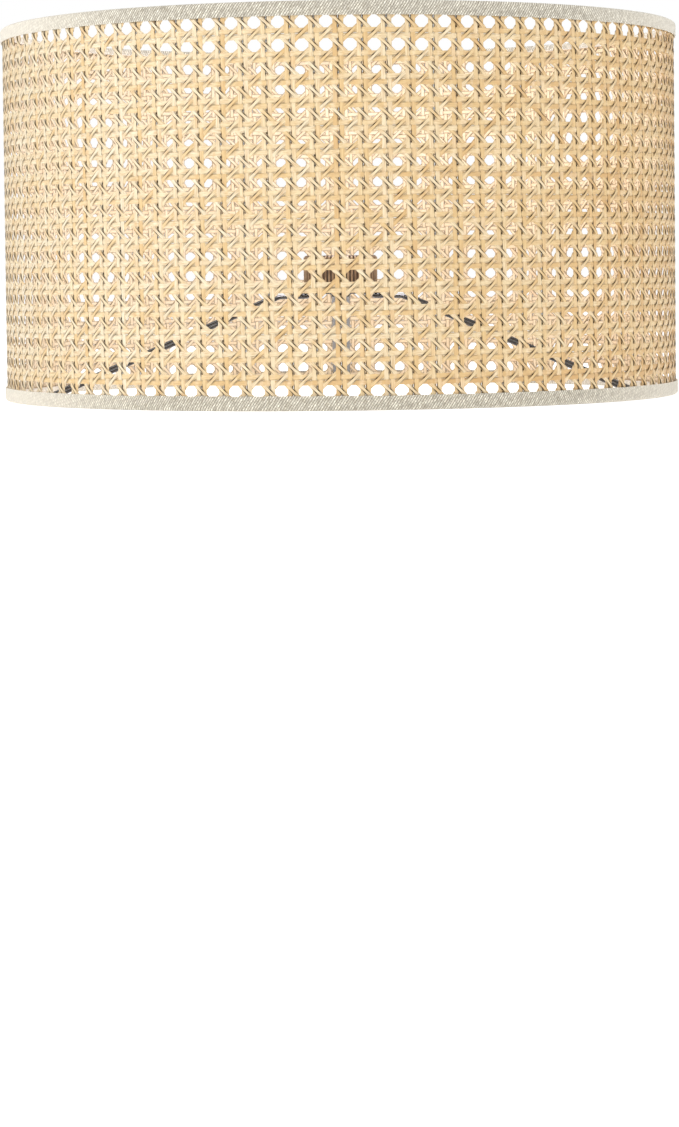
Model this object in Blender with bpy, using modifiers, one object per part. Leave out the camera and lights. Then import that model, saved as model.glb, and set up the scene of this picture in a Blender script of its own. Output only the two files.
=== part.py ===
"""Drum lamp shade: a cylinder of woven cane webbing on two wire rings, bound with linen tape.

The shade hangs on a lamp holder by a spider: three doubled wire arms rise from the bottom ring and
carry a flat fitter ring, and a ribbed retaining ring clamps the fitter ring to the holder's collar.
Units are metres, +Z is up, and the origin is the middle of the bottom rim.
"""

import math

import bmesh
import bpy
from mathutils import Matrix, Vector

# Driving dimensions
OUTER_R = 0.200  # outside of the linen tape, the widest point
HEIGHT = 0.218  # rim to rim
GAP = 0.0003  # air between pieces that touch on the real object

TAPE_T = 0.0007  # linen tape thickness
TAPE_DROP = 0.008  # how far the folded tape reaches from a rim on the outside
TAPE_TUCK = 0.0036  # and on the inside, where it is tucked round the wire
TAPE_BEND_R = 0.0018  # outer radius of the tape's folds
WEBBING_T = 0.0016  # thickness of the woven sheet
RING_WIRE_D = 0.0030  # wire of the top and bottom rings
ARM_WIRE_D = 0.0024  # wire of the spider arms

FITTER_HOLE_R = 0.01725  # clears a 33.3 mm lamp-holder collar
FITTER_R = 0.028
FITTER_T = 0.0015

ARM_SPREAD = 0.009  # between the centrelines of an arm's two legs
ARM_BEND_R = 0.044  # distance from the axis at which an arm turns down
ARM_FILLET = 0.012  # radius of that bend
ARM_TOP_Z = 0.0592  # height of the level stretch's centreline
ARM_END_Z = 0.0035
ARM_HEADINGS = {"left": 210.0, "right": 330.0, "rear": 90.0}  # degrees from +X
SLOT_PLAY = 0.0004  # room each side of an arm leg in its slot in the tape

NUT_R = 0.022  # crest of the retaining ring's ribs
NUT_HEIGHT = 0.0210
NUT_RIBS = 60
NUT_RIB_DEPTH = 0.0006
NUT_BORE_R = 0.0170  # root of the internal thread
NUT_THREAD_DEPTH = 0.0008
NUT_THREAD_PITCH = 0.0030
NUT_THREAD_TURNS = 6
NUT_EDGE = 0.0012  # chamfers on its rims
NUT_PILOT_R = 0.012  # hole in the blank before the bore is cut

ROUND_STEPS = 72
SMALL_ROUND_STEPS = 48
WIRE_SIDES = 8

# Worked out from them
WEBBING_R = OUTER_R - TAPE_T - GAP  # outer face of the webbing
RING_R = WEBBING_R - WEBBING_T - GAP - RING_WIRE_D / 2  # centreline of the rim wires
TAPE_INNER_R = RING_R - RING_WIRE_D / 2 - GAP - TAPE_T
RIM_CLEAR = TAPE_T + GAP  # from a rim's edge to the webbing and the wire inside the fold
FITTER_Z = ARM_TOP_Z + ARM_WIRE_D / 2 + GAP  # seat of the shade on the lamp holder
NUT_Z = FITTER_Z + FITTER_T + GAP
ARM_TURN_R = NUT_R + GAP + ARM_WIRE_D / 2 + ARM_SPREAD / 2  # centre of the hairpin's half turn
ARM_END_R = RING_R - RING_WIRE_D / 2 - GAP * 1.2

CANE = ("cane", (0.68, 0.46, 0.23), 0.55, 0.0)
LINEN = ("linen", (0.62, 0.57, 0.48), 0.95, 0.0)
RIM_STEEL = ("rim_steel", (0.75, 0.74, 0.70), 0.45, 0.6)
BLACK_STEEL = ("black_steel", (0.02, 0.018, 0.016), 0.35, 0.3)
PHENOLIC = ("phenolic", (0.20, 0.125, 0.075), 0.38, 0.0)


def clear_scene():
    for found in list(bpy.data.objects):
        bpy.data.objects.remove(found)


def collection(name):
    made = bpy.data.collections.new(name)
    bpy.context.scene.collection.children.link(made)
    return made


def material(finish):
    name, colour, roughness, metallic = finish
    made = bpy.data.materials.get(name) or bpy.data.materials.new(name)
    made.use_nodes = True
    shader = made.node_tree.nodes["Principled BSDF"]
    shader.inputs["Base Color"].default_value = (*colour, 1.0)
    shader.inputs["Roughness"].default_value = roughness
    shader.inputs["Metallic"].default_value = metallic
    return made


def place(made, folder, finish=None, smooth_below=35.0):
    """Puts an object in a collection, gives it its finish and shades its round faces smooth."""
    for home in list(made.users_collection):
        home.objects.unlink(made)
    folder.objects.link(made)
    if finish:
        made.data.materials.append(material(finish))
    if made.type == "MESH":
        made.data.shade_smooth()
        made.data.set_sharp_from_angle(angle=math.radians(smooth_below))
    return made


def as_cutter(made, folder):
    place(made, folder)
    made.hide_render = True
    made.display_type = "WIRE"
    return made


def turned(name, profile, steps):
    """A closed outline of (radius, height) points, turned about Z."""
    mesh = bpy.data.meshes.new(name)
    count = len(profile)
    corners = [(radius, 0.0, height) for radius, height in profile]
    mesh.from_pydata(corners, [(i, (i + 1) % count) for i in range(count)], [])
    made = bpy.data.objects.new(name, mesh)
    screw = made.modifiers.new("turn", "SCREW")
    screw.steps = steps
    screw.render_steps = steps
    screw.use_merge_vertices = True
    screw.merge_threshold = 0.00001
    return made


def arc(centre, radius, start, end, steps):
    """Points of an arc in a plane, in degrees, both ends included."""
    return [
        (
            centre[0] + radius * math.cos(math.radians(start + (end - start) * i / steps)),
            centre[1] + radius * math.sin(math.radians(start + (end - start) * i / steps)),
        )
        for i in range(steps + 1)
    ]


def cut(made, cutter):
    boolean = made.modifiers.new("cut", "BOOLEAN")
    boolean.operation = "DIFFERENCE"
    boolean.solver = "EXACT"
    boolean.object = cutter


def heading(degrees):
    """Unit vectors outwards and sideways at that heading."""
    turn = math.radians(degrees)
    out = Vector((math.cos(turn), math.sin(turn), 0.0))
    side = Vector((-math.sin(turn), math.cos(turn), 0.0))
    return out, side


# Sub-parts


def cane_webbing(folder):
    """The woven sheet, here as a plain wall between the two folds of tape."""
    low, high = TAPE_BEND_R, HEIGHT - TAPE_BEND_R
    inner = WEBBING_R - WEBBING_T
    outline = [(WEBBING_R, high), (WEBBING_R, low), (inner, low), (inner, high)]
    return place(turned("cane_webbing", outline, ROUND_STEPS), folder, CANE)


def tape_outline():
    """Section of the bottom tape: a channel, open upwards, with rounded folds."""
    bend, inner_bend = TAPE_BEND_R, TAPE_BEND_R - TAPE_T
    outer_centre = (OUTER_R - bend, bend)
    inner_centre = (TAPE_INNER_R + bend, bend)
    outside = arc(outer_centre, bend, 0, -90, 3) + arc(inner_centre, bend, -90, -180, 3)
    inside = arc(inner_centre, inner_bend, -180, -90, 2) + arc(outer_centre, inner_bend, -90, 0, 2)
    return (
        [(OUTER_R, TAPE_DROP)]
        + outside
        + [(TAPE_INNER_R, TAPE_TUCK), (TAPE_INNER_R + TAPE_T, TAPE_TUCK)]
        + inside
        + [(OUTER_R - TAPE_T, TAPE_DROP)]
    )


def bottom_tape(folder, cutters):
    made = place(turned("bottom_trim", tape_outline(), ROUND_STEPS), folder, LINEN)
    cut(made, arm_slots(cutters))
    return made


def top_tape(folder):
    outline = [(radius, HEIGHT - height) for radius, height in reversed(tape_outline())]
    return place(turned("top_trim", outline, ROUND_STEPS), folder, LINEN)


def arm_slots(cutters):
    """Slits in the inner fold of the bottom tape, one for each leg of an arm."""
    shapes = bmesh.new()
    width = ARM_WIRE_D + 2 * SLOT_PLAY
    low = ARM_END_Z - ARM_WIRE_D / 2 - SLOT_PLAY
    tall = TAPE_TUCK + GAP - low
    deep = 6 * TAPE_T
    for degrees in ARM_HEADINGS.values():
        out, side = heading(degrees)
        turn = Matrix.Rotation(math.radians(degrees), 4, "Z")
        for sign in (-1, 1):
            centre = out * TAPE_INNER_R + side * sign * ARM_SPREAD / 2
            centre.z = low + tall / 2
            size = Matrix.Diagonal((deep, width, tall, 1.0))
            bmesh.ops.create_cube(shapes, size=1.0, matrix=Matrix.Translation(centre) @ turn @ size)
    mesh = bpy.data.meshes.new("arm_slots")
    shapes.to_mesh(mesh)
    shapes.free()
    return as_cutter(bpy.data.objects.new("arm_slots", mesh), cutters)


def wire_ring(name, height, folder):
    bpy.ops.mesh.primitive_torus_add(
        location=(0.0, 0.0, height),
        major_radius=RING_R,
        minor_radius=RING_WIRE_D / 2,
        major_segments=ROUND_STEPS,
        minor_segments=WIRE_SIDES,
    )
    made = bpy.context.object
    made.name = name
    return place(made, folder, RIM_STEEL, smooth_below=60.0)


def fitter_ring(folder):
    """Flat steel ring that sits on the lamp holder, with its edges broken."""
    low, high = FITTER_Z, FITTER_Z + FITTER_T
    edge = FITTER_T / 5
    outline = [
        (FITTER_R - edge, high),
        (FITTER_R, high - edge),
        (FITTER_R, low + edge),
        (FITTER_R - edge, low),
        (FITTER_HOLE_R, low),
        (FITTER_HOLE_R, high),
    ]
    return place(turned("fitter_ring", outline, SMALL_ROUND_STEPS), folder, BLACK_STEEL)


def arm_leg():
    """(distance from the axis, height) along one leg, from the bottom ring to the half turn."""
    corner = Vector((ARM_BEND_R, ARM_TOP_Z))
    end = Vector((ARM_END_R, ARM_END_Z))
    slope = math.atan2(corner.y - end.y, end.x - corner.x)
    reach = ARM_FILLET * math.tan(slope / 2)
    bend_start = corner.x - reach
    bend = arc((bend_start, corner.y - ARM_FILLET), ARM_FILLET, 90 - math.degrees(slope), 90, 4)
    straight_steps = 4
    down = [end.lerp(Vector(bend[0]), i / straight_steps) for i in range(straight_steps)]
    return [tuple(point) for point in down] + bend


def spider_arm(name, degrees, folder):
    """One wire bent to a hairpin: its half turn lies under the fitter ring."""
    out, side = heading(degrees)
    leg = arm_leg()
    half = ARM_SPREAD / 2
    turn = arc((ARM_TURN_R, 0.0), half, 90, 270, 8)
    route = [out * radius + side * half + Vector((0, 0, z)) for radius, z in leg]
    route += [out * radius + side * across + Vector((0, 0, ARM_TOP_Z)) for radius, across in turn]
    route += [out * radius - side * half + Vector((0, 0, z)) for radius, z in reversed(leg)]
    wire = bpy.data.curves.new(name, "CURVE")
    wire.dimensions = "3D"
    wire.bevel_depth = ARM_WIRE_D / 2
    wire.bevel_resolution = 2
    wire.use_fill_caps = True
    line = wire.splines.new("POLY")
    line.points.add(len(route) - 1)
    for point, place_at in zip(line.points, route):
        point.co = (*place_at, 1.0)
    return place(bpy.data.objects.new(name, wire), folder, BLACK_STEEL)


def ribbed_outline():
    """Outline of the retaining ring from above: flat-topped ribs all round."""
    root = NUT_R - NUT_RIB_DEPTH
    points = []
    for rib in range(NUT_RIBS):
        for share, radius in ((0.0, root), (0.22, NUT_R), (0.58, NUT_R), (0.80, root)):
            turn = 2 * math.pi * (rib + share) / NUT_RIBS
            points.append((radius * math.cos(turn), radius * math.sin(turn)))
    return points


def ribbed_blank():
    """The retaining ring before its bore is threaded, as a mesh."""
    outline = bpy.data.curves.new("ribbed_blank", "CURVE")
    outline.dimensions = "2D"
    outline.fill_mode = "BOTH"
    outline.extrude = NUT_HEIGHT / 2
    for points in (ribbed_outline(), arc((0.0, 0.0), NUT_PILOT_R, 0, 360, SMALL_ROUND_STEPS)[:-1]):
        line = outline.splines.new("POLY")
        line.use_cyclic_u = True
        line.points.add(len(points) - 1)
        for point, (x, y) in zip(line.points, points):
            point.co = (x, y, 0.0, 1.0)
    drawn = bpy.data.objects.new("ribbed_blank", outline)
    drawn.location.z = NUT_Z + NUT_HEIGHT / 2
    bpy.context.scene.collection.objects.link(drawn)
    bpy.context.view_layer.update()
    evaluated = drawn.evaluated_get(bpy.context.evaluated_depsgraph_get())
    mesh = bpy.data.meshes.new_from_object(evaluated)
    welded = bmesh.new()
    welded.from_mesh(mesh)
    bmesh.ops.remove_doubles(welded, verts=welded.verts, dist=0.00001)
    welded.to_mesh(mesh)
    welded.free()
    made = bpy.data.objects.new("retaining_ring", mesh)
    made.matrix_world = drawn.matrix_world
    bpy.data.objects.remove(drawn)
    return made


def thread_cutter(cutters):
    """A turned sleeve that opens the pilot hole to a threaded bore with chamfered mouths."""
    crest = NUT_BORE_R - NUT_THREAD_DEPTH
    over = 0.001
    low, high = NUT_Z, NUT_Z + NUT_HEIGHT
    middle = (low + high) / 2
    wall = [(NUT_BORE_R + NUT_EDGE + over, high + over), (NUT_BORE_R, high - NUT_EDGE)]
    for ridge in reversed(range(NUT_THREAD_TURNS)):
        at = middle + (ridge + 0.5 - NUT_THREAD_TURNS / 2) * NUT_THREAD_PITCH
        for share, radius in ((0.30, NUT_BORE_R), (0.08, crest), (-0.08, crest), (-0.30, NUT_BORE_R)):
            wall.append((radius, at + share * NUT_THREAD_PITCH))
    wall += [(NUT_BORE_R, low + NUT_EDGE), (NUT_BORE_R + NUT_EDGE + over, low - over)]
    inside = NUT_PILOT_R - over
    outline = wall + [(inside, low - over), (inside, high + over)]
    return as_cutter(turned("thread_cutter", outline, SMALL_ROUND_STEPS), cutters)


def edge_cutter(name, height, direction, cutters):
    """A turned ring that breaks the ribs' ends at one rim of the retaining ring."""
    over = 0.002
    outline = [
        (NUT_R - NUT_EDGE, height + direction * over),
        (NUT_R - NUT_EDGE, height),
        (NUT_R + over, height - direction * (NUT_EDGE + over)),
        (NUT_R + over, height + direction * over),
    ]
    if direction > 0:
        outline.reverse()
    return as_cutter(turned(name, outline, SMALL_ROUND_STEPS), cutters)


def retaining_ring(folder, cutters):
    made = place(ribbed_blank(), folder, PHENOLIC)
    cut(made, thread_cutter(cutters))
    cut(made, edge_cutter("top_edge_cutter", NUT_Z + NUT_HEIGHT, 1, cutters))
    return made


def main():
    clear_scene()
    shade = collection("lamp_shade")
    cutters = collection("cutters")
    cane_webbing(shade)
    top_tape(shade)
    bottom_tape(shade, cutters)
    ring_inset = RIM_CLEAR + RING_WIRE_D / 2
    wire_ring("top_ring", HEIGHT - ring_inset, shade)
    wire_ring("bottom_ring", ring_inset, shade)
    fitter_ring(shade)
    for side, degrees in ARM_HEADINGS.items():
        spider_arm(f"spider_arm_{side}", degrees, shade)
    retaining_ring(shade, cutters)


main()
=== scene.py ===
"""The looks of a drum lamp shade: cane woven strand by strand, linen tape, black spider, ribbed ring.

Lengths are in metres. Round the drum, a place is given by its run, the distance along the wall's
middle from the front, by its height, and by its lift, the distance outwards from the wall's middle.
"""

import math

import bmesh
import bpy
import numpy as np
from mathutils import Matrix, Vector


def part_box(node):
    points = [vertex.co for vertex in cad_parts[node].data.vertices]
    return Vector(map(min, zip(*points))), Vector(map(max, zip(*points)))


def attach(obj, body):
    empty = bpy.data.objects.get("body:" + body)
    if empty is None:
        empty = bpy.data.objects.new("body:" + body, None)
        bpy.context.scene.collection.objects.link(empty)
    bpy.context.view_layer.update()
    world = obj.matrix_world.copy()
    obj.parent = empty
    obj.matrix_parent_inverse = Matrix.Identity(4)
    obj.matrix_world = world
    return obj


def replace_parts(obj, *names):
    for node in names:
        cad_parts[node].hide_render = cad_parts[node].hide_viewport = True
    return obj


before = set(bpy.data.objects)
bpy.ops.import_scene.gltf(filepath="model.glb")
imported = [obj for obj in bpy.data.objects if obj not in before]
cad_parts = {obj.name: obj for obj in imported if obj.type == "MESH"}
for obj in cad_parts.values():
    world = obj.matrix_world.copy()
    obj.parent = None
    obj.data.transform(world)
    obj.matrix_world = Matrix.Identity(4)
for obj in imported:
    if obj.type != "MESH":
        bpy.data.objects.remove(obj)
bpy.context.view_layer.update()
random = np.random.default_rng(40)

# The weave
COLUMNS = 97  # holes round the drum
ROWS = 17  # holes between the trims
LOWEST_ROW = 0.0104  # height of the lowest hole's middle
ROW_PITCH = 0.01228
STRAND_W = 0.00278  # of the strands in pairs
DIAGONAL_W = 0.00238
STRAND_T = 0.00050
PAIR_SPREAD = 0.00293  # between the middles of two strands that run side by side
CROSSING_REACH = 0.0030  # how far from a crossing a strand starts to bend
STEEPNESS = 3.0  # how sharply a diagonal drops between its crossings
STRAND_PLAY = 0.00002  # left between strands that cross
WANDER = 0.00008  # how far a strand strays from its line
WIDTH_SPREAD = 0.03  # share by which widths differ
WIDTH_LIMIT = 0.1  # the largest such share
WIDTH_RIPPLE = 0.035  # share by which a strand's width changes along it
TONE_SHAPE = (1.6, 2.6)  # of the strands' tones: more pale ones than dark ones
TONE_SPREAD = 0.75  # how much they differ
RIGHT_SIDE_SHADE = 0.54  # painted shade: how much darker the cane is painted on the right than on the left
UNDERSIDE_TONE = 0.35  # how much of a strand's tone its pale underside has
HOOP_WAVES = (3, 11, 29)  # round the drum

# The painted shadow lines where strands lie against each other
SHADOW_LINE_W = 0.00058  # width of the line along a strand's edge
SHADOW_LINE_REACH = 0.0006  # from the outer edge of a crossing pair to the middle of the small gap beside it
SHADOW_LINE_FADE = 0.0026  # length over which a line fades from there
HOOP_SHADOW = 0.4  # darkness along the hoops, as a share of the uprights'
RISING_SHADOW = 0.65  # darkness under the rising diagonals, as a share of the falling ones'
UNDERSIDE_SHADOW = 0.45  # darkness of the painted shadow lines along every strand's underside

# The tape
TAPE_T = 0.0007
TAPE_FOLD_R = 0.0018  # outer radius of a fold
TAPE_TUCK = 0.0036  # how far the tape reaches from a rim on the inside
TAPE_STEPS = 481
TAPE_EDGE = 0.55  # thickness at the tape's edges, as a share of TAPE_T
TAPE_SWAY = 0.00018  # how far the outer edge strays
TAPE_WAVES = (7, 16, 31, 57, 90)  # round the rim
TAPE_JOINT = 0.0003  # gap where a tape's two ends meet at the back
RIGHT_SHEEN = 0.85  # painted sheen at the right-hand side, as a share of the left-hand side's
SLOT_PLAY = 0.0005  # between an arm's leg and its slit in the tape
SLOT_DEPTH = 6  # thicknesses of tape, so that a slit's cutter passes right through

# The spider and its ring
WIRE_D = 0.0024
RIM_WIRE_D = 0.0030
SAME_PLACE = 0.000005  # points of a wire that are closer than this are one point
BEND_R = 0.044  # distance from the axis at which an arm turns down
BEND_FILLET = 0.012
END_TRIM = 0.0004  # from a leg's outermost point to the end of its middle line
ARM_HEADINGS = {"left": 210.0, "right": 330.0, "rear": 90.0}
WELD_BEAD = (0.0022, 0.0019, 0.0009)  # half sizes along the wire, across it and upwards
WELD_SINK = 0.0001
PLATE_EDGE = 0.0005  # radius of the fitter plate's rolled edges
RIBS = 60
RIB_STEPS = 12  # points round each rib
RIB_DEPTH = 0.0006
RIB_SHARPNESS = 3.2
RIB_FULLNESS = 0.6  # more than 0 makes the ribs wider than the grooves
RING_EDGE = 0.0012  # chamfer at the retaining ring's top and at its bore
RING_FOOT = 0.0004  # chamfer at its lower edge
BORE_AND_TOP_SHADE = 0.8  # painted shade on the retaining ring's inside and top, as a share of a groove's
RIB_LEVELS = 5  # points up each rib, between RIB_LOW and RIB_HIGH
RIB_LOW = 0.0020  # from the ring's lower face
RIB_HIGH = 0.0022  # from its upper face
THREAD_PITCH = 0.0030
THREAD_DEPTH = 0.0008
THREAD_LEVELS = 56
RIDGE_TOP = 1.35  # more than 1 flattens the thread's crest
RIDGE_SLOPE = 4.2

# The camera and the light
CAMERA_DISTANCE = 1.790
CAMERA_HEIGHT = 0.0758
FOCAL_LENGTH = 95.6
PITCH_DOWN = 2.1  # degrees
ROLL = 0.63  # degrees
SHIFT = (-0.0019, -0.1645)
CLIP = (0.05, 100.0)
SURROUNDINGS = 0.58  # light from all round; the camera sees the surroundings as white
FLOOR_R = 30.0
FLOOR_DROP = 0.0002  # from the shade's lowest face
FLOOR_GLOW = 0.5
LIGHTS = (  # name, place, diameter, power in watts, colour
    ("key", (-2.2, -1.3, 1.0), 0.7, 28.5, (1.0, 0.985, 0.96)),
    ("fill", (2.2, -1.2, 1.2), 0.5, 16.0, (1.0, 0.985, 0.96)),
    ("front", (-0.2, -2.4, 0.7), 0.6, 5.0, (1.0, 1.0, 0.95)),
    ("above", (0.2, -0.6, 2.6), 1.2, 18.0, (1.0, 1.0, 1.0)),
)
BULB_HEIGHT = 0.78  # of the weak lamp inside, as a share of the shade's height
BULB_R = 0.03
BULB_POWER = 0.75
BULB_COLOUR = (1.0, 0.95, 1.0)

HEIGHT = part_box("top_trim")[1].z
OUTER_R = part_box("top_trim")[1].x


def inner_radius(node):
    """The smallest distance of a CAD node's points from the axis."""
    return min(math.hypot(point.co.x, point.co.y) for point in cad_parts[node].data.vertices)


WALL_OUTER_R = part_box("cane_webbing")[1].x
WALL_R = (WALL_OUTER_R + inner_radius("cane_webbing")) / 2
WALL_LOW, WALL_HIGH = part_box("cane_webbing")[0].z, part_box("cane_webbing")[1].z
PITCH = 2 * math.pi * WALL_R / COLUMNS
TAPE_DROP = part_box("bottom_trim")[1].z
TAPE_INNER_R = inner_radius("top_trim")


# Shader nodes


def shader_tree(name, colour, roughness):
    """A new Principled material, its node tree and its shader."""
    made = bpy.data.materials.new(name)
    made.use_nodes = True
    shader = made.node_tree.nodes["Principled BSDF"]
    shader.inputs["Base Color"].default_value = (*colour, 1.0)
    shader.inputs["Roughness"].default_value = roughness
    return made, made.node_tree, shader


def feed(tree, sockets, values):
    """Gives each socket a number, a colour or a link."""
    for socket, value in zip(sockets, values):
        if isinstance(value, (int, float)):
            socket.default_value = value
        elif isinstance(value, tuple):
            socket.default_value = (*value, 1.0)
        else:
            tree.links.new(value, socket)


def maths(tree, operation, *values):
    """The result of a Math node on numbers or sockets."""
    node = tree.nodes.new("ShaderNodeMath")
    node.operation = operation
    feed(tree, node.inputs, values)
    return node.outputs[0]


def times(tree, value, number):
    """A socket's value times a number."""
    return maths(tree, "MULTIPLY", value, number)


def stored(tree, name):
    """The three parts of a stored vector attribute."""
    node = tree.nodes.new("ShaderNodeAttribute")
    node.attribute_name = name
    split = tree.nodes.new("ShaderNodeSeparateXYZ")
    tree.links.new(node.outputs["Vector"], split.inputs[0])
    return split.outputs


def combined(tree, x, y, z):
    """A vector of numbers or sockets."""
    node = tree.nodes.new("ShaderNodeCombineXYZ")
    feed(tree, node.inputs, (x, y, z))
    return node.outputs[0]


def noise(tree, where, scale=1.0, detail=2.0, roughness=0.5):
    """Smooth random values at the places that a vector socket gives."""
    node = tree.nodes.new("ShaderNodeTexNoise")
    node.inputs["Scale"].default_value = scale
    node.inputs["Detail"].default_value = detail
    node.inputs["Roughness"].default_value = roughness
    tree.links.new(where, node.inputs["Vector"])
    return node.outputs[0]


def ramp(tree, value, stops):
    """A colour ramp with stops of (place, colour)."""
    node = tree.nodes.new("ShaderNodeValToRGB")
    band = node.color_ramp
    while len(band.elements) < len(stops):
        band.elements.new(0.5)
    for element, (place, colour) in zip(band.elements, stops):
        element.position = place
        element.color = (*colour, 1.0)
    tree.links.new(value, node.inputs[0])
    return node.outputs[0]


def ranged(tree, value, low, high, to_low, to_high):
    """A value carried from one range to another and held inside it."""
    node = tree.nodes.new("ShaderNodeMapRange")
    for socket, number in zip(list(node.inputs)[1:5], (low, high, to_low, to_high)):
        socket.default_value = number
    tree.links.new(value, node.inputs[0])
    return node.outputs[0]


def blended(tree, share, first, second):
    """Two colours mixed by a share, each a socket or a colour."""
    node = tree.nodes.new("ShaderNodeMix")
    node.data_type = "RGBA"
    feed(tree, (node.inputs[0], node.inputs[6], node.inputs[7]), (share, first, second))
    return node.outputs[2]


def bumped(tree, shader, height, distance, strength=1.0):
    """Fine relief on a shader, from a height socket."""
    node = tree.nodes.new("ShaderNodeBump")
    node.inputs["Distance"].default_value = distance
    node.inputs["Strength"].default_value = strength
    tree.links.new(height, node.inputs["Height"])
    tree.links.new(node.outputs[0], shader.inputs["Normal"])


# Materials


def cane_material():
    """Split cane: each strand has its own tone, fibres along it, a glossy skin and a pale underside, with
    painted shadow lines along its edges.
    """
    made, tree, shader = shader_tree("cane", (0.72, 0.52, 0.29), 0.42)
    along, across, seed = stored(tree, "grain")
    margin, shadow_line, skin = stored(tree, "edges")
    tone = ramp(
        tree,
        seed,
        [
            (0.00, (0.745, 0.685, 0.54)),
            (0.25, (0.735, 0.64, 0.455)),
            (0.50, (0.72, 0.58, 0.355)),
            (0.75, (0.67, 0.485, 0.24)),
            (1.00, (0.57, 0.36, 0.15)),
        ],
    )
    apart = times(tree, seed, 190.0)  # so that no two strands share their patches and fibres
    patches = noise(tree, combined(tree, times(tree, along, 45.0), 0.0, apart), detail=3.0)
    pale = blended(tree, ranged(tree, patches, 0.50, 0.72, 0.0, 0.55), tone, (0.86, 0.72, 0.53))
    patched = blended(tree, ranged(tree, patches, 0.30, 0.46, 0.6, 0.0), pale, (0.66, 0.42, 0.19))
    fibre_run = combined(tree, times(tree, along, 110.0), times(tree, across, 2300.0), apart)
    fibres = noise(tree, fibre_run, detail=3.0, roughness=0.6)
    streaks = ranged(tree, fibres, 0.32, 0.58, 0.72, 0.0)
    streaked = blended(tree, streaks, patched, (0.50, 0.32, 0.16))
    pith_streaks = ranged(tree, fibres, 0.30, 0.62, 0.5, 0.0)
    pith = blended(tree, pith_streaks, (0.76, 0.62, 0.46), (0.64, 0.50, 0.36))
    underside = blended(tree, UNDERSIDE_TONE, pith, patched)
    sided = blended(tree, skin, underside, streaked)
    # painted shadow: near-black lines along strand edges, where strands lie against each other
    edge = maths(tree, "MULTIPLY", ranged(tree, margin, SHADOW_LINE_W * 0.9, SHADOW_LINE_W, 1.0, 0.0), shadow_line)
    shaded = blended(tree, edge, sided, (0.016, 0.008, 0.003))
    tree.links.new(shaded, shader.inputs["Base Color"])
    tree.links.new(ranged(tree, fibres, 0.3, 0.7, 0.50, 0.30), shader.inputs["Roughness"])
    tree.links.new(ranged(tree, edge, 0.0, 1.0, 0.4, 0.05), shader.inputs["Specular IOR Level"])
    bumped(tree, shader, fibres, 0.00015, 0.6)
    return made


def linen_material():
    """Oatmeal linen, cut on the bias: a plain weave of slubby threads, with a painted sheen that makes it
    paler at the two sides.
    """
    made, tree, shader = shader_tree("linen", (0.64, 0.58, 0.48), 0.95)
    run, over, side_sheen = stored(tree, "weave")
    thread = 0.00125  # width of a thread
    slant = math.radians(56)
    fast = math.sin(slant) * math.pi / thread
    slow = math.cos(slant) * math.pi / thread
    first = maths(tree, "ADD", times(tree, run, fast), times(tree, over, -slow))
    second = maths(tree, "ADD", times(tree, run, slow), times(tree, over, fast))
    first_wave = maths(tree, "SINE", first)
    second_wave = maths(tree, "SINE", second)
    crossing = maths(tree, "MULTIPLY", first_wave, second_wave)
    warp_height = maths(tree, "MULTIPLY_ADD", crossing, 0.25, 0.75)
    weft_height = maths(tree, "MULTIPLY_ADD", crossing, -0.30, 0.45)
    warp = maths(tree, "MULTIPLY", maths(tree, "ABSOLUTE", first_wave), warp_height)
    weft = maths(tree, "MULTIPLY", maths(tree, "ABSOLUTE", second_wave), weft_height)
    cloth = maths(tree, "MAXIMUM", warp, weft)
    along_warp = combined(tree, times(tree, first, 0.32), times(tree, second, 0.11), 0.0)
    slubs = noise(tree, along_warp, detail=3.0, roughness=0.6)
    along_weft = combined(tree, times(tree, first, 0.11), times(tree, second, 0.32), 7.0)
    cross_slubs = noise(tree, along_weft, detail=3.0, roughness=0.6)
    pale = ranged(tree, slubs, 0.38, 0.62, 0.0, 1.0)
    threads = blended(tree, pale, (0.45, 0.41, 0.33), (0.97, 0.93, 0.80))
    paler = ranged(tree, cross_slubs, 0.42, 0.68, 0.0, 0.35)
    heather = blended(tree, paler, threads, (0.86, 0.83, 0.74))
    gaps = ranged(tree, cloth, 0.35, 0.80, 0.85, 0.0)
    shadowed = blended(tree, gaps, heather, (0.22, 0.195, 0.155))
    where = combined(tree, times(tree, run, 420.0), times(tree, over, 260.0), 3.0)
    flecks = ranged(tree, noise(tree, where), 0.42, 0.62, 0.0, 0.34)
    flecked = blended(tree, flecks, shadowed, (0.30, 0.275, 0.235))
    # painted sheen: the tape is painted paler towards its left and right sides
    side_sheened = blended(tree, ranged(tree, side_sheen, 0.55, 1.0, 0.0, 0.5), flecked, (0.95, 0.89, 0.78))
    tree.links.new(side_sheened, shader.inputs["Base Color"])
    shader.inputs["Sheen Weight"].default_value = 0.8
    shader.inputs["Sheen Roughness"].default_value = 0.4
    shader.inputs["Sheen Tint"].default_value = (1.0, 0.96, 0.88, 1.0)
    shader.inputs["Specular IOR Level"].default_value = 0.2
    height = maths(tree, "MULTIPLY_ADD", slubs, 0.35, cloth)
    bumped(tree, shader, height, 0.0003)
    return made


def coated_steel_material(name, colour, roughness):
    """Painted steel with slightly uneven paint."""
    made, tree, shader = shader_tree(name, colour, roughness)
    where = tree.nodes.new("ShaderNodeTexCoord").outputs["Object"]
    mottle = noise(tree, where, 900.0, detail=3.0)
    uneven = ranged(tree, mottle, 0.3, 0.7, roughness - 0.07, roughness + 0.10)
    tree.links.new(uneven, shader.inputs["Roughness"])
    shader.inputs["Specular IOR Level"].default_value = 0.8
    lighter = tuple(min(1.0, part * 1.5 + 0.006) for part in colour)
    worn = noise(tree, where, 160.0)
    painted = blended(tree, ranged(tree, worn, 0.4, 0.7, 0.0, 0.5), colour, lighter)
    tree.links.new(painted, shader.inputs["Base Color"])
    bumped(tree, shader, mottle, 0.00003, 0.6)
    return made


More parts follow.
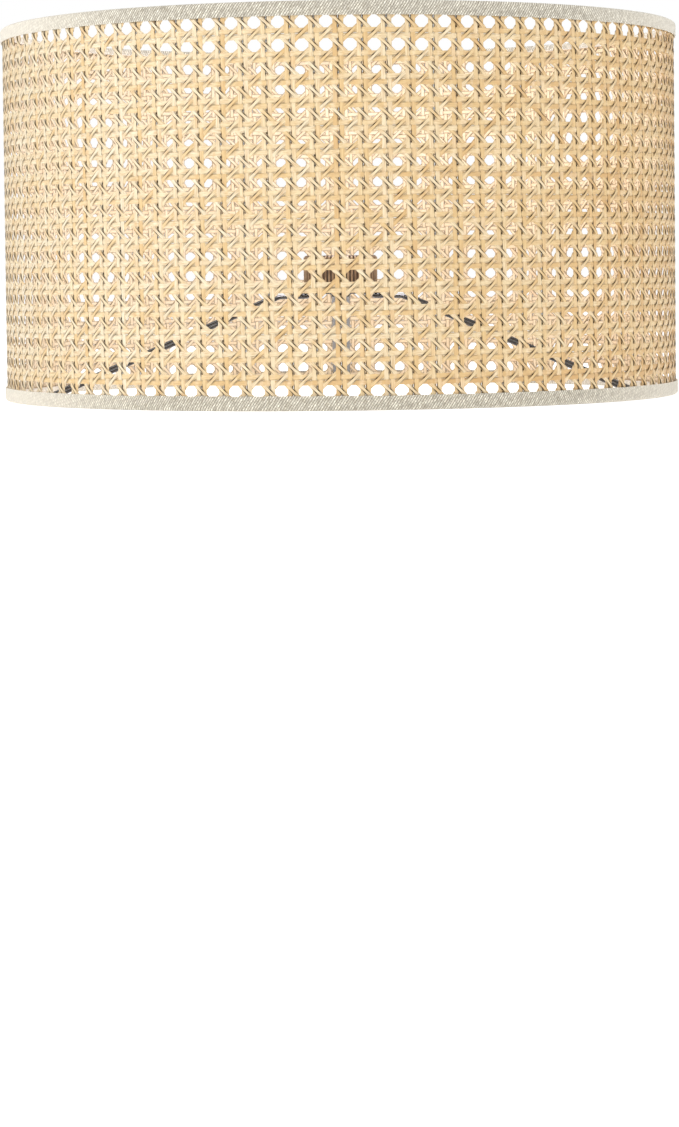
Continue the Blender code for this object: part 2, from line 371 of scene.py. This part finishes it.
def phenolic_material():
    """Brown moulded plastic, mottled, with painted shade in its grooves, on its top and in its bore."""
    made, tree, shader = shader_tree("phenolic", (0.23, 0.15, 0.115), 0.30)
    where = tree.nodes.new("ShaderNodeTexCoord").outputs["Object"]
    cloud = noise(tree, where, 140.0, detail=4.0)
    clouded = ranged(tree, cloud, 0.35, 0.7, 0.0, 1.0)
    mottled = blended(tree, clouded, (0.23, 0.145, 0.085), (0.42, 0.29, 0.18))
    depth = stored(tree, "groove_shade")[0]
    # painted shade: the grooves, the top and the bore are painted near black
    groove_shaded = blended(tree, ranged(tree, depth, 0.15, 0.8, 0.0, 0.9), mottled, (0.045, 0.025, 0.016))
    tree.links.new(groove_shaded, shader.inputs["Base Color"])
    grain = noise(tree, where, 1400.0)
    tree.links.new(ranged(tree, grain, 0.3, 0.7, 0.28, 0.46), shader.inputs["Roughness"])
    bumped(tree, shader, grain, 0.00003, 0.4)
    return made


# Meshes


def shown(name, mesh, finish, body):
    """Puts a finished mesh in the scene, on its body."""
    mesh.materials.append(finish)
    made = bpy.data.objects.new(name, mesh)
    bpy.context.scene.collection.objects.link(made)
    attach(made, body)
    return made


def lofted(here, after):
    """Quads between closed rows of points, given by their numbers, and the rows that follow them."""
    following = (np.roll(here, -1, axis=-1), np.roll(after, -1, axis=-1))
    return np.stack([here, *following, after], axis=-1).reshape(-1, 4)


def mesh_of(name, points, quads, ends=()):
    """A mesh from an array of points and an array of quads, with extra end faces in a list."""
    points = points.reshape(-1, 3)
    mesh = bpy.data.meshes.new(name)
    corners = np.concatenate([quads.ravel()] + [np.asarray(end) for end in ends])
    sizes = np.concatenate([np.full(len(quads), 4), [len(end) for end in ends]]).astype(np.int32)
    starts = np.concatenate([[0], np.cumsum(sizes)[:-1]]).astype(np.int32)
    mesh.vertices.add(len(points))
    mesh.vertices.foreach_set("co", points.astype(np.float32).ravel())
    mesh.loops.add(len(corners))
    mesh.loops.foreach_set("vertex_index", corners.astype(np.int32))
    mesh.polygons.add(len(sizes))
    mesh.polygons.foreach_set("loop_start", starts)
    mesh.update(calc_edges=True)
    mesh.validate()
    return mesh


def store(mesh, name, values):
    """Stores a vector at each point, for the materials."""
    layer = mesh.attributes.new(name, "FLOAT_VECTOR", "POINT")
    layer.data.foreach_set("vector", values.astype(np.float32).ravel())


def smooth(mesh, sharp_above):
    """Smooth shading that keeps edges sharper than an angle in degrees."""
    mesh.shade_smooth()
    mesh.set_sharp_from_angle(angle=math.radians(sharp_above))


def facing_out(mesh):
    """Turns every face outwards."""
    shape = bmesh.new()
    shape.from_mesh(mesh)
    bmesh.ops.recalc_face_normals(shape, faces=shape.faces)
    shape.to_mesh(mesh)
    shape.free()


# Cane

# A strand's section: a flat underside and a crowned skin, in half widths and thicknesses.
SECTION = [(-1.0, 0.12), (-0.86, -0.5), (0.0, -0.5), (0.86, -0.5), (1.0, 0.12), (0.5, 0.46), (-0.5, 0.46)]


def on_drum(run, height, lift):
    """Points on the drum, and the outward and sideways directions there."""
    turn = run / WALL_R - math.pi / 2
    outward = np.stack([np.cos(turn), np.sin(turn), np.zeros_like(turn)], axis=-1)
    sideways = np.stack([-np.sin(turn), np.cos(turn), np.zeros_like(turn)], axis=-1)
    points = outward * (WALL_R + lift)[..., None]
    points[..., 2] = height
    return points, outward, sideways


def strands(name, run, height, lift, lean, ring, width, painted_shadows, finish):
    """Flat strands as one mesh. run, height and lift are arrays of strands by places along them.

    lean is the angle of the strands from level and ring says that each closes on itself. The argument after
    width is how dark the painted shadow lines along the two edges are at each place, first the one at the
    section's start.
    """
    count, places = run.shape
    section_x, section_y = np.array(SECTION).T
    sides = len(SECTION)
    points, outward, sideways = on_drum(run, height, lift)
    up = np.array([0.0, 0.0, 1.0])
    across = up * math.cos(lean) - sideways * math.sin(lean)
    widths = width * (1 + random.normal(0, WIDTH_SPREAD, count).clip(-WIDTH_LIMIT, WIDTH_LIMIT))
    seeds = random.beta(*TONE_SHAPE, count)
    # painted shade: the cane is painted darker towards the right-hand side
    side_shade = RIGHT_SIDE_SHADE * (1 + np.sin(run / WALL_R)) / 2
    tones = seeds[:, None] * TONE_SPREAD + side_shade
    ripple = slow_noise(count, places, WIDTH_RIPPLE, 0.4)
    half = (widths[:, None] / 2 * (1 + ripple))[..., None, None]
    outline = points[:, :, None, :] + across[:, :, None, :] * half * section_x[:, None]
    outline = outline + outward[:, :, None, :] * STRAND_T * section_y[:, None]
    number = np.arange(count * places * sides).reshape(count, places, sides)
    if ring:
        quads = lofted(number, np.roll(number, -1, axis=1))
        mesh = mesh_of(name, outline, quads)
    else:
        ends = [*number[:, 0, ::-1], *number[:, -1]]
        mesh = mesh_of(name, outline, lofted(number[:, :-1], number[:, 1:]), ends)
    step = np.linalg.norm(np.diff(points, axis=1, prepend=points[:, :1]), axis=2)
    grain = np.zeros((count, places, sides, 3))  # place along, place across, tone
    grain[..., 0] = np.cumsum(step, axis=1)[..., None]
    grain[..., 1] = section_x * width / 2
    grain[..., 2] = np.clip(tones, 0, 1)[..., None]
    store(mesh, "grain", grain)
    skin = section_y > 0
    skin_shadows = np.where(section_x < 0, painted_shadows[0][:, None], painted_shadows[1][:, None])
    edges = np.zeros((count, places, sides, 3))  # distance from the edge, the darkness of its painted shadow line, 1 on the skin
    edges[..., 0] = width / 2 * (1 - np.abs(section_x))
    # painted shadow lines along the edges of the skin and of the underside
    edges[..., 1] = np.where(skin, skin_shadows, UNDERSIDE_SHADOW)
    edges[..., 2] = skin
    store(mesh, "edges", edges)
    facing_out(mesh)
    smooth(mesh, 50)
    made = shown(name, mesh, finish, "shade")
    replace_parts(made, "cane_webbing")


def slow_noise(count, places, size, rate):
    """Random gentle waves along each strand, with a size and a rate of change from place to place."""
    along = np.arange(places)[None, :] * rate
    total = np.zeros((count, places))
    for octave in (0.35, 0.8, 1.7):
        phase = random.uniform(0, 2 * math.pi, (count, 1))
        total += np.sin(along * octave + phase)
    return total * size / 3


def samples(first, last, pitch, origin, shares):
    """Places from first to last that fall at the given shares of each pitch, with both ends."""
    low = math.floor((first - origin) / pitch)
    high = math.ceil((last - origin) / pitch)
    places = [origin + (whole + share) * pitch for whole in range(low, high + 1) for share in shares]
    margin = pitch * 0.04  # so that no place comes close to an end
    inside = [place for place in places if first + margin < place < last - margin]
    return np.array([first, *inside, last])


def bend_at(distance):
    """How far a strand is bent at a distance from a crossing, from 0 to 1."""
    near = np.abs(distance) < CROSSING_REACH
    return np.where(near, 0.5 + 0.5 * np.cos(math.pi * distance / CROSSING_REACH), 0.0)


def pair_shares(pitch):
    """Where a strand of a pair is sampled, as shares of the way from one hole's middle to the next."""
    offset = PAIR_SPREAD / 2 / pitch
    return (0.0, 0.22, 0.5 - offset, 0.5, 0.5 + offset, 0.78)


def crossing_lift(places, crossings, side):
    """Lift of a strand that passes over and under pairs: over one of each pair, under the other."""
    bent = STRAND_T / 2 + STRAND_PLAY
    lift = np.zeros_like(places)
    for middle in crossings:
        for other in (-1, 1):
            lift += side * other * bent * bend_at(places - middle - other * PAIR_SPREAD / 2)
    return lift


def pair_shadow_lines(offset, inner, darkness):
    """How dark the painted shadow lines along the two edges of a strand of a pair are, by the distance to
    the nearest crossing pair.

    The inner edge's painted shadow is darkest at the small gaps, in the middle of a crossing and just
    outside it, and the outer edge has none. inner is the sign of the inner edge in the section.
    """
    gap = PAIR_SPREAD / 2 + STRAND_W / 2 + SHADOW_LINE_REACH
    knots = [0, PAIR_SPREAD / 2, gap, gap + SHADOW_LINE_FADE]
    inside = darkness * np.interp(offset, knots, [0.6, 0.1, 1.0, 0.05])
    unshaded = np.zeros(len(offset))
    return (unshaded, inside) if inner > 0 else (inside, unshaded)


def offset_from(places, first, pitch):
    """Distance from the nearest of evenly spaced places."""
    return np.abs((places - first + pitch / 2) % pitch - pitch / 2)


def hoop_heights():
    """Heights of the middles of the level pairs."""
    return LOWEST_ROW + (np.arange(ROWS + 1) - 0.5) * ROW_PITCH


def uprights(side, finish):
    """One strand of each upright pair: side is -1 for the left one and 1 for the right one."""
    places = samples(WALL_LOW, WALL_HIGH, ROW_PITCH, LOWEST_ROW, pair_shares(ROW_PITCH))
    middles = np.arange(COLUMNS) * PITCH + side * PAIR_SPREAD / 2
    run = middles[:, None] + random.normal(0, WANDER / 2, (COLUMNS, 1))
    run = run + slow_noise(COLUMNS, len(places), WANDER, 0.5)
    height = np.broadcast_to(places, run.shape)
    lift = np.broadcast_to(-crossing_lift(places, hoop_heights(), side), run.shape)
    painted_shadows = pair_shadow_lines(offset_from(places, hoop_heights()[0], ROW_PITCH), side, 1.0)
    name = "cane_uprights_left" if side < 0 else "cane_uprights_right"
    strands(name, run, height, lift, math.pi / 2, False, STRAND_W, painted_shadows, finish)


def hoops(side, finish):
    """One strand of each level pair: side is -1 for the lower one and 1 for the upper one."""
    heights = hoop_heights() + side * PAIR_SPREAD / 2
    count = len(heights)
    shares = np.array(pair_shares(PITCH))
    places = np.concatenate([(column + shares) * PITCH for column in range(COLUMNS)]) - PITCH / 2
    run = np.broadcast_to(places, (count, len(places)))
    turns = run / (COLUMNS * PITCH) * 2 * math.pi
    waves = sum(
        np.sin(turns * number + random.uniform(0, 2 * math.pi, (count, 1))) for number in HOOP_WAVES
    )
    height = heights[:, None] + random.normal(0, WANDER / 2, (count, 1)) + waves * WANDER / 3
    height = np.clip(height, WALL_LOW + STRAND_W / 2, WALL_HIGH - STRAND_W / 2)
    lift = np.broadcast_to(crossing_lift(places, np.arange(COLUMNS) * PITCH, side), run.shape)
    painted_shadows = pair_shadow_lines(offset_from(places, 0.0, PITCH), -side, HOOP_SHADOW)
    name = "cane_hoops_lower" if side < 0 else "cane_hoops_upper"
    strands(name, run, height, lift, 0.0, True, STRAND_W, painted_shadows, finish)


def diagonals(direction, finish):
    """The strands that fall or rise to the right: direction is -1 for falling and 1 for rising."""
    shares = (0.0, 0.18, 0.25, 0.32, 0.5, 0.68, 0.75, 0.82)
    places = samples(WALL_LOW, WALL_HIGH, ROW_PITCH, LOWEST_ROW, shares)
    slope = direction * PITCH / ROW_PITCH
    starts = np.arange(COLUMNS) * PITCH + random.normal(0, WANDER / 2, COLUMNS)
    run = starts[:, None] + slope * (places - LOWEST_ROW)[None, :]
    run = run + slow_noise(COLUMNS, len(places), WANDER, 0.4)
    height = np.broadcast_to(places, run.shape)
    swing = np.cos(2 * math.pi * (places - LOWEST_ROW) / ROW_PITCH)
    lift = -direction * (STRAND_T + STRAND_PLAY) * np.tanh(STEEPNESS * swing) / math.tanh(STEEPNESS)
    lift = np.broadcast_to(lift, run.shape)
    lean = math.atan2(ROW_PITCH, direction * PITCH)
    upper_left = np.clip((np.abs(swing) - 0.35) / 0.35, 0, 1)  # painted shadow: dark at crossings, none between them
    lower = upper_left * (RISING_SHADOW if direction > 0 else 1.0)
    name = "cane_diagonals_rising" if direction > 0 else "cane_diagonals_falling"
    strands(name, run, height, lift, lean, False, DIAGONAL_W, (lower, upper_left), finish)


# Tape


def arc(centre, radius, start, end, steps):
    """Points of an arc in a plane, in degrees, both ends included."""
    turns = np.radians(np.linspace(start, end, steps + 1))
    return [(centre[0] + radius * math.cos(t), centre[1] + radius * math.sin(t)) for t in turns]


def tape_section():
    """The tape's middle line across a bottom rim, from the outer edge to the inner one."""
    middle = TAPE_FOLD_R - TAPE_T / 2
    outer = (OUTER_R - TAPE_FOLD_R, TAPE_FOLD_R)
    inner = (TAPE_INNER_R + TAPE_FOLD_R, TAPE_FOLD_R)
    outer_side = [(OUTER_R - TAPE_T / 2, z) for z in np.linspace(TAPE_DROP, TAPE_FOLD_R, 8)[:-1]]
    inner_side = [(TAPE_INNER_R + TAPE_T / 2, z) for z in np.linspace(TAPE_FOLD_R, TAPE_TUCK, 4)[1:]]
    return np.array(
        outer_side + arc(outer, middle, 0, -90, 5) + arc(inner, middle, -90, -180, 5) + inner_side
    )


def turned_points(section, turns):
    """The (radius, height) points of each turn's section, turned about the axis."""
    radius, height = section[..., 0], section[..., 1]
    return np.stack([radius * np.cos(turns)[:, None], radius * np.sin(turns)[:, None], height], axis=-1)


def end_strip(ring):
    """Quads that close a cut end, from a ring of points down one face of a strip and back up the other."""
    face, back = ring[: len(ring) // 2], ring[len(ring) // 2 :][::-1]
    return np.stack([face[:-1], face[1:], back[1:], back[:-1]], axis=-1)


def tape(name, top, finish):
    """A linen tape folded over a rim, with edges that aren't quite straight, and its flat width."""
    line = tape_section()
    along = np.concatenate([[0], np.cumsum(np.linalg.norm(np.diff(line, axis=0), axis=1))])
    heading = np.gradient(line, axis=0)
    heading /= np.linalg.norm(heading, axis=1)[:, None]
    outward = np.stack([-heading[:, 1], heading[:, 0]], axis=1)
    rounded = np.ones(len(line))
    rounded[[0, -1]] = TAPE_EDGE
    offset = (TAPE_T / 2 * rounded)[:, None]
    outline = np.concatenate([line - outward * offset, (line + outward * offset)[::-1]])
    across = np.concatenate([along, along[::-1]])
    joint = TAPE_JOINT / 2 / OUTER_R
    turns = np.linspace(joint, 2 * math.pi - joint, TAPE_STEPS)
    waves = sum(np.sin(turns * count + random.uniform(0, 2 * math.pi)) / count**0.3 for count in TAPE_WAVES)
    section = np.broadcast_to(outline, (TAPE_STEPS, *outline.shape)).copy()
    free = np.clip((section[..., 1] - TAPE_FOLD_R) / (TAPE_DROP - TAPE_FOLD_R), 0, 1)
    section[..., 1] += np.minimum((waves * TAPE_SWAY)[:, None] * free, 0.0)
    points = turned_points(section, turns + math.pi / 2)
    if top:
        points[..., 2] = HEIGHT - points[..., 2]
    sides = len(outline)
    number = np.arange(TAPE_STEPS * sides).reshape(TAPE_STEPS, sides)
    ends = np.concatenate([end_strip(number[0]), end_strip(number[-1])[:, ::-1]])
    mesh = mesh_of(name, points, np.concatenate([lofted(number[:-1], number[1:]), ends]))
    weave = np.zeros((TAPE_STEPS, sides, 3))  # place along, place across, painted sheen
    weave[..., 0] = (turns * OUTER_R)[:, None]
    weave[..., 1] = across if top else -across
    # painted sheen, strongest at the left-hand side
    weave[..., 2] = np.maximum(np.sin(turns), -RIGHT_SHEEN * np.sin(turns))[:, None]
    store(mesh, "weave", weave)
    facing_out(mesh)
    smooth(mesh, 60)
    return shown(name, mesh, finish, "shade"), along[-1]


def boxes_at_arms(low, tall):
    """Cutters for the slits that the arms' legs pass through in the bottom tape's inner fold."""
    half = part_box("spider_arm_rear")[1].x - WIRE_D / 2
    shapes = bmesh.new()
    for degrees in ARM_HEADINGS.values():
        turn = Matrix.Rotation(math.radians(degrees), 4, "Z")
        for side in (-1, 1):
            place = turn @ Vector((TAPE_INNER_R, side * half, low + tall / 2))
            size = Matrix.Diagonal((SLOT_DEPTH * TAPE_T, WIRE_D + 2 * SLOT_PLAY, tall, 1.0))
            bmesh.ops.create_cube(shapes, size=1.0, matrix=Matrix.Translation(place) @ turn @ size)
    mesh = bpy.data.meshes.new("slots")
    shapes.to_mesh(mesh)
    shapes.free()
    made = bpy.data.objects.new("slots", mesh)
    bpy.context.scene.collection.objects.link(made)
    return made


def cut_away(made, cutter):
    """Cuts one object from another for good, and removes the cutter."""
    boolean = made.modifiers.new("cut", "BOOLEAN")
    boolean.operation = "DIFFERENCE"
    boolean.solver = "EXACT"
    boolean.object = cutter
    bpy.context.view_layer.update()
    evaluated = made.evaluated_get(bpy.context.evaluated_depsgraph_get())
    made.data = bpy.data.meshes.new_from_object(evaluated)
    made.modifiers.clear()
    bpy.data.objects.remove(cutter)


def tapes(finish):
    """The tapes of both rims, as folded cloth."""
    top, width = tape("linen_tape_top", True, finish)
    bottom, _ = tape("linen_tape_bottom", False, finish)
    leg_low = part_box("spider_arm_rear")[0].z - SLOT_PLAY
    cut_away(bottom, boxes_at_arms(leg_low, TAPE_TUCK + SLOT_PLAY - leg_low))
    for made, node, ring in ((top, "top_trim", "top_ring"), (bottom, "bottom_trim", "bottom_ring")):
        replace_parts(made, node)


# Wires, plate and ring


def turned(name, outline, steps, finish):
    """A closed outline of (radius, height) points turned about the axis."""
    section = np.broadcast_to(np.array(outline), (steps, len(outline), 2))
    points = turned_points(section, np.linspace(0, 2 * math.pi, steps, endpoint=False))
    number = np.arange(steps * len(outline)).reshape(steps, -1)
    mesh = mesh_of(name, points, lofted(number, np.roll(number, -1, axis=0)))
    facing_out(mesh)
    smooth(mesh, 40)
    return shown(name, mesh, finish, "shade")


def rim_wires(finish):
    """The wire rings inside the folds of tape."""
    for node in ("top_ring", "bottom_ring"):
        low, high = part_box(node)
        centre = (high.x - RIM_WIRE_D / 2, (low.z + high.z) / 2)
        outline = arc(centre, RIM_WIRE_D / 2, 0, 360, 14)[:-1]
        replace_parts(turned(f"{node}_wire", outline, 240, finish), node)


def fitter_plate(finish):
    """The stamped flat ring, with rolled edges."""
    low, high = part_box("fitter_ring")
    hole = inner_radius("fitter_ring") + PLATE_EDGE
    rim = high.x - PLATE_EDGE
    floor, top = low.z + PLATE_EDGE, high.z - PLATE_EDGE
    outline = (
        arc((rim, top), PLATE_EDGE, 90, 0, 3)
        + arc((rim, floor), PLATE_EDGE, 0, -90, 3)
        + arc((hole, floor), PLATE_EDGE, 270, 180, 3)
        + arc((hole, top), PLATE_EDGE, 180, 90, 3)
    )
    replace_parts(turned("fitter_plate", outline, 144, finish), "fitter_ring")


def leg_route(end_r, end_z, top_z):
    """(distance from the axis, height) along one leg, from the rim to the level stretch."""
    corner = Vector((BEND_R, top_z))
    end = Vector((end_r, end_z))
    slope = math.atan2(corner.y - end.y, end.x - corner.x)
    bend_start = corner.x - BEND_FILLET * math.tan(slope / 2)
    centre = (bend_start, corner.y - BEND_FILLET)
    return [tuple(end)] + arc(centre, BEND_FILLET, 90 - math.degrees(slope), 90, 10)


def wire_object(name, route, finish):
    """A round wire along a route of points, with its weld beads."""
    wire = bpy.data.curves.new(name, "CURVE")
    wire.dimensions = "3D"
    wire.bevel_depth = WIRE_D / 2
    wire.bevel_resolution = 4
    wire.use_fill_caps = True
    line = wire.splines.new("POLY")
    line.points.add(len(route) - 1)
    for point, place in zip(line.points, route):
        point.co = (*place, 1.0)
    drawn = bpy.data.objects.new(name, wire)
    bpy.context.scene.collection.objects.link(drawn)
    bpy.context.view_layer.update()
    evaluated = drawn.evaluated_get(bpy.context.evaluated_depsgraph_get())
    mesh = bpy.data.meshes.new_from_object(evaluated)
    bpy.data.objects.remove(drawn)
    shape = bmesh.new()
    shape.from_mesh(mesh)
    bmesh.ops.remove_doubles(shape, verts=shape.verts, dist=SAME_PLACE)
    add_weld_beads(shape, route)
    shape.to_mesh(mesh)
    shape.free()
    smooth(mesh, 50)
    return shown(name, mesh, finish, "shade")


def add_weld_beads(shape, route):
    """Small beads of weld where the wire's two legs meet the edge of the fitter plate."""
    plate_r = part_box("fitter_ring")[1].x
    nearest = sorted(route, key=lambda place: abs(math.hypot(place.x, place.y) - plate_r))[:2]
    for place in nearest:
        outward = Vector((place.x, place.y, 0)).normalized()
        turn = outward.to_track_quat("X", "Z").to_matrix().to_4x4()
        size = Matrix.Diagonal((*WELD_BEAD, 1.0))
        spot = Matrix.Translation(place + Vector((0, 0, WIRE_D / 2 - WELD_SINK)))
        bmesh.ops.create_uvsphere(shape, u_segments=14, v_segments=8, radius=1.0, matrix=spot @ turn @ size)


def spider(finish):
    """Three arms, each one wire bent to a hairpin."""
    low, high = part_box("spider_arm_rear")
    half = high.x - WIRE_D / 2
    top_z = high.z - WIRE_D / 2
    turn_r = low.y + WIRE_D / 2 + half
    leg = leg_route(high.y - END_TRIM, low.z + WIRE_D / 2, top_z)
    leg.append((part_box("fitter_ring")[1].x, top_z))
    around = arc((turn_r, 0.0), half, 90, 270, 16)
    for side, degrees in ARM_HEADINGS.items():
        turn = Matrix.Rotation(math.radians(degrees), 3, "Z")
        route = [turn @ Vector((radius, half, height)) for radius, height in leg]
        route += [turn @ Vector((radius, across, top_z)) for radius, across in around]
        route += [turn @ Vector((radius, -half, height)) for radius, height in reversed(leg)]
        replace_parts(wire_object(f"arm_wire_{side}", route, finish), f"spider_arm_{side}")


def rib_radius(turn, radius):
    """The ribbed outside of the retaining ring."""
    phase = (turn * RIBS / (2 * math.pi)) % 1.0
    crest = np.tanh(RIB_SHARPNESS * np.cos(2 * math.pi * phase) + RIB_FULLNESS)
    return radius - RIB_DEPTH * (0.5 - 0.5 * crest)


def threaded_radius(turn, height, low, bore):
    """The inside of the retaining ring, with a helical thread."""
    phase = ((height - low) / THREAD_PITCH - turn / (2 * math.pi)) % 1.0
    ridge = np.clip(RIDGE_TOP - np.abs(phase - 0.5) * RIDGE_SLOPE, 0.0, 1.0)
    return bore + THREAD_DEPTH * (1 - ridge)


def retaining_ring(finish):
    """The ring that screws down on the fitter plate: ribbed outside and threaded inside."""
    low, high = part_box("retaining_ring")
    bore = inner_radius("retaining_ring")
    steps = RIBS * RIB_STEPS
    turns = np.linspace(0, 2 * math.pi, steps, endpoint=False)
    ribbed = rib_radius(turns, high.x)
    between = np.linspace(low.z + RIB_LOW, high.z - RIB_HIGH, RIB_LEVELS)
    outer_heights = [low.z, low.z + RING_FOOT, *between, high.z - RING_EDGE, high.z]
    inner_heights = np.linspace(high.z - RING_EDGE, low.z + RING_EDGE, THREAD_LEVELS)
    insets = {low.z: RING_FOOT, high.z: RING_EDGE}
    mouth = np.full(steps, bore + THREAD_DEPTH + RING_EDGE)
    columns = [(np.minimum(ribbed, high.x - insets.get(z, 0.0)), z) for z in outer_heights]
    columns.append((mouth, high.z))
    columns += [(threaded_radius(turns, z, low.z, bore), z) for z in inner_heights]
    columns.append((mouth, low.z))
    radii = np.stack([radius for radius, _ in columns], axis=1)
    heights = np.broadcast_to([z for _, z in columns], radii.shape)
    points = turned_points(np.stack([radii, heights], axis=-1), turns)
    number = np.arange(radii.size).reshape(radii.shape)
    mesh = mesh_of("ribbed_ring", points, lofted(number, np.roll(number, -1, axis=0)))
    outside = len(outer_heights)
    groove_shade = np.zeros((*radii.shape, 3))  # depth below the ribs, as a share, which sets the painted shade
    groove_shade[:, :outside, 0] = ((high.x - ribbed) / RIB_DEPTH)[:, None]
    # painted shade on the top and in the bore
    groove_shade[:, outside - 1 :, 0] = BORE_AND_TOP_SHADE
    store(mesh, "groove_shade", groove_shade)
    facing_out(mesh)
    smooth(mesh, 42)
    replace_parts(shown("ribbed_ring", mesh, finish, "clamp"), "retaining_ring")


# Stage


def light(name, kind, place, energy, colour):
    """A lamp at a place, and its settings."""
    data = bpy.data.lights.new(name, kind)
    data.energy = energy
    data.color = colour
    made = bpy.data.objects.new(name, data)
    made.location = place
    bpy.context.scene.collection.objects.link(made)
    return made, data


def stage():
    """A pale floor, white surroundings, soft lights and a weak lamp where the bulb would be."""
    bpy.ops.mesh.primitive_circle_add(
        vertices=96, radius=FLOOR_R, fill_type="NGON", location=(0, 0, -FLOOR_DROP)
    )
    floor = bpy.context.object
    floor.name = "floor"
    made, _, shader = shader_tree("pale_floor", (0.9, 0.9, 0.9), 0.9)
    shader.inputs["Emission Color"].default_value = (1.0, 1.0, 1.0, 1.0)
    shader.inputs["Emission Strength"].default_value = FLOOR_GLOW
    floor.data.materials.append(made)
    world = bpy.data.worlds.new("studio")
    world.use_nodes = True
    tree = world.node_tree
    seen = tree.nodes.new("ShaderNodeLightPath").outputs["Is Camera Ray"]
    strength = ranged(tree, seen, 0.0, 1.0, SURROUNDINGS, 1.0)
    tree.links.new(strength, tree.nodes["Background"].inputs["Strength"])
    tree.nodes["Background"].inputs["Color"].default_value = (1.0, 1.0, 1.0, 1.0)
    bpy.context.scene.world = world
    middle = Vector((0.0, 0.0, HEIGHT / 2))
    for name, place, size, energy, colour in LIGHTS:
        made, data = light(name, "AREA", place, energy, colour)
        data.shape = "DISK"
        data.size = size
        made.rotation_euler = (middle - Vector(place)).to_track_quat("-Z", "Y").to_euler()
    _, data = light("bulb_glow", "POINT", (0.0, 0.0, HEIGHT * BULB_HEIGHT), BULB_POWER, BULB_COLOUR)
    data.shadow_soft_size = BULB_R


def camera():
    """The camera in front of the shade, a little above its fitter."""
    data = bpy.data.cameras.new("camera")
    data.lens = FOCAL_LENGTH
    data.shift_x, data.shift_y = SHIFT
    data.clip_start, data.clip_end = CLIP
    made = bpy.data.objects.new("camera", data)
    made.location = (0.0, -CAMERA_DISTANCE, CAMERA_HEIGHT)
    made.rotation_mode = "QUATERNION"
    look = Matrix.Rotation(math.radians(90 - PITCH_DOWN), 4, "X")
    made.rotation_quaternion = (look @ Matrix.Rotation(math.radians(-ROLL), 4, "Z")).to_quaternion()
    bpy.context.scene.collection.objects.link(made)
    bpy.context.scene.camera = made


def build():
    """Every piece of the shade."""
    cane = cane_material()
    for side in (-1, 1):
        uprights(side, cane)
        hoops(side, cane)
        diagonals(side, cane)
    tapes(linen_material())
    rim_wires(coated_steel_material("rim_steel", (0.72, 0.71, 0.67), 0.45))
    black = coated_steel_material("black_steel", (0.016, 0.014, 0.013), 0.16)
    fitter_plate(black)
    spider(black)
    retaining_ring(phenolic_material())


build()
stage()
camera()
bpy.context.scene.view_settings.view_transform = "Standard"

bpy.context.view_layer.update()
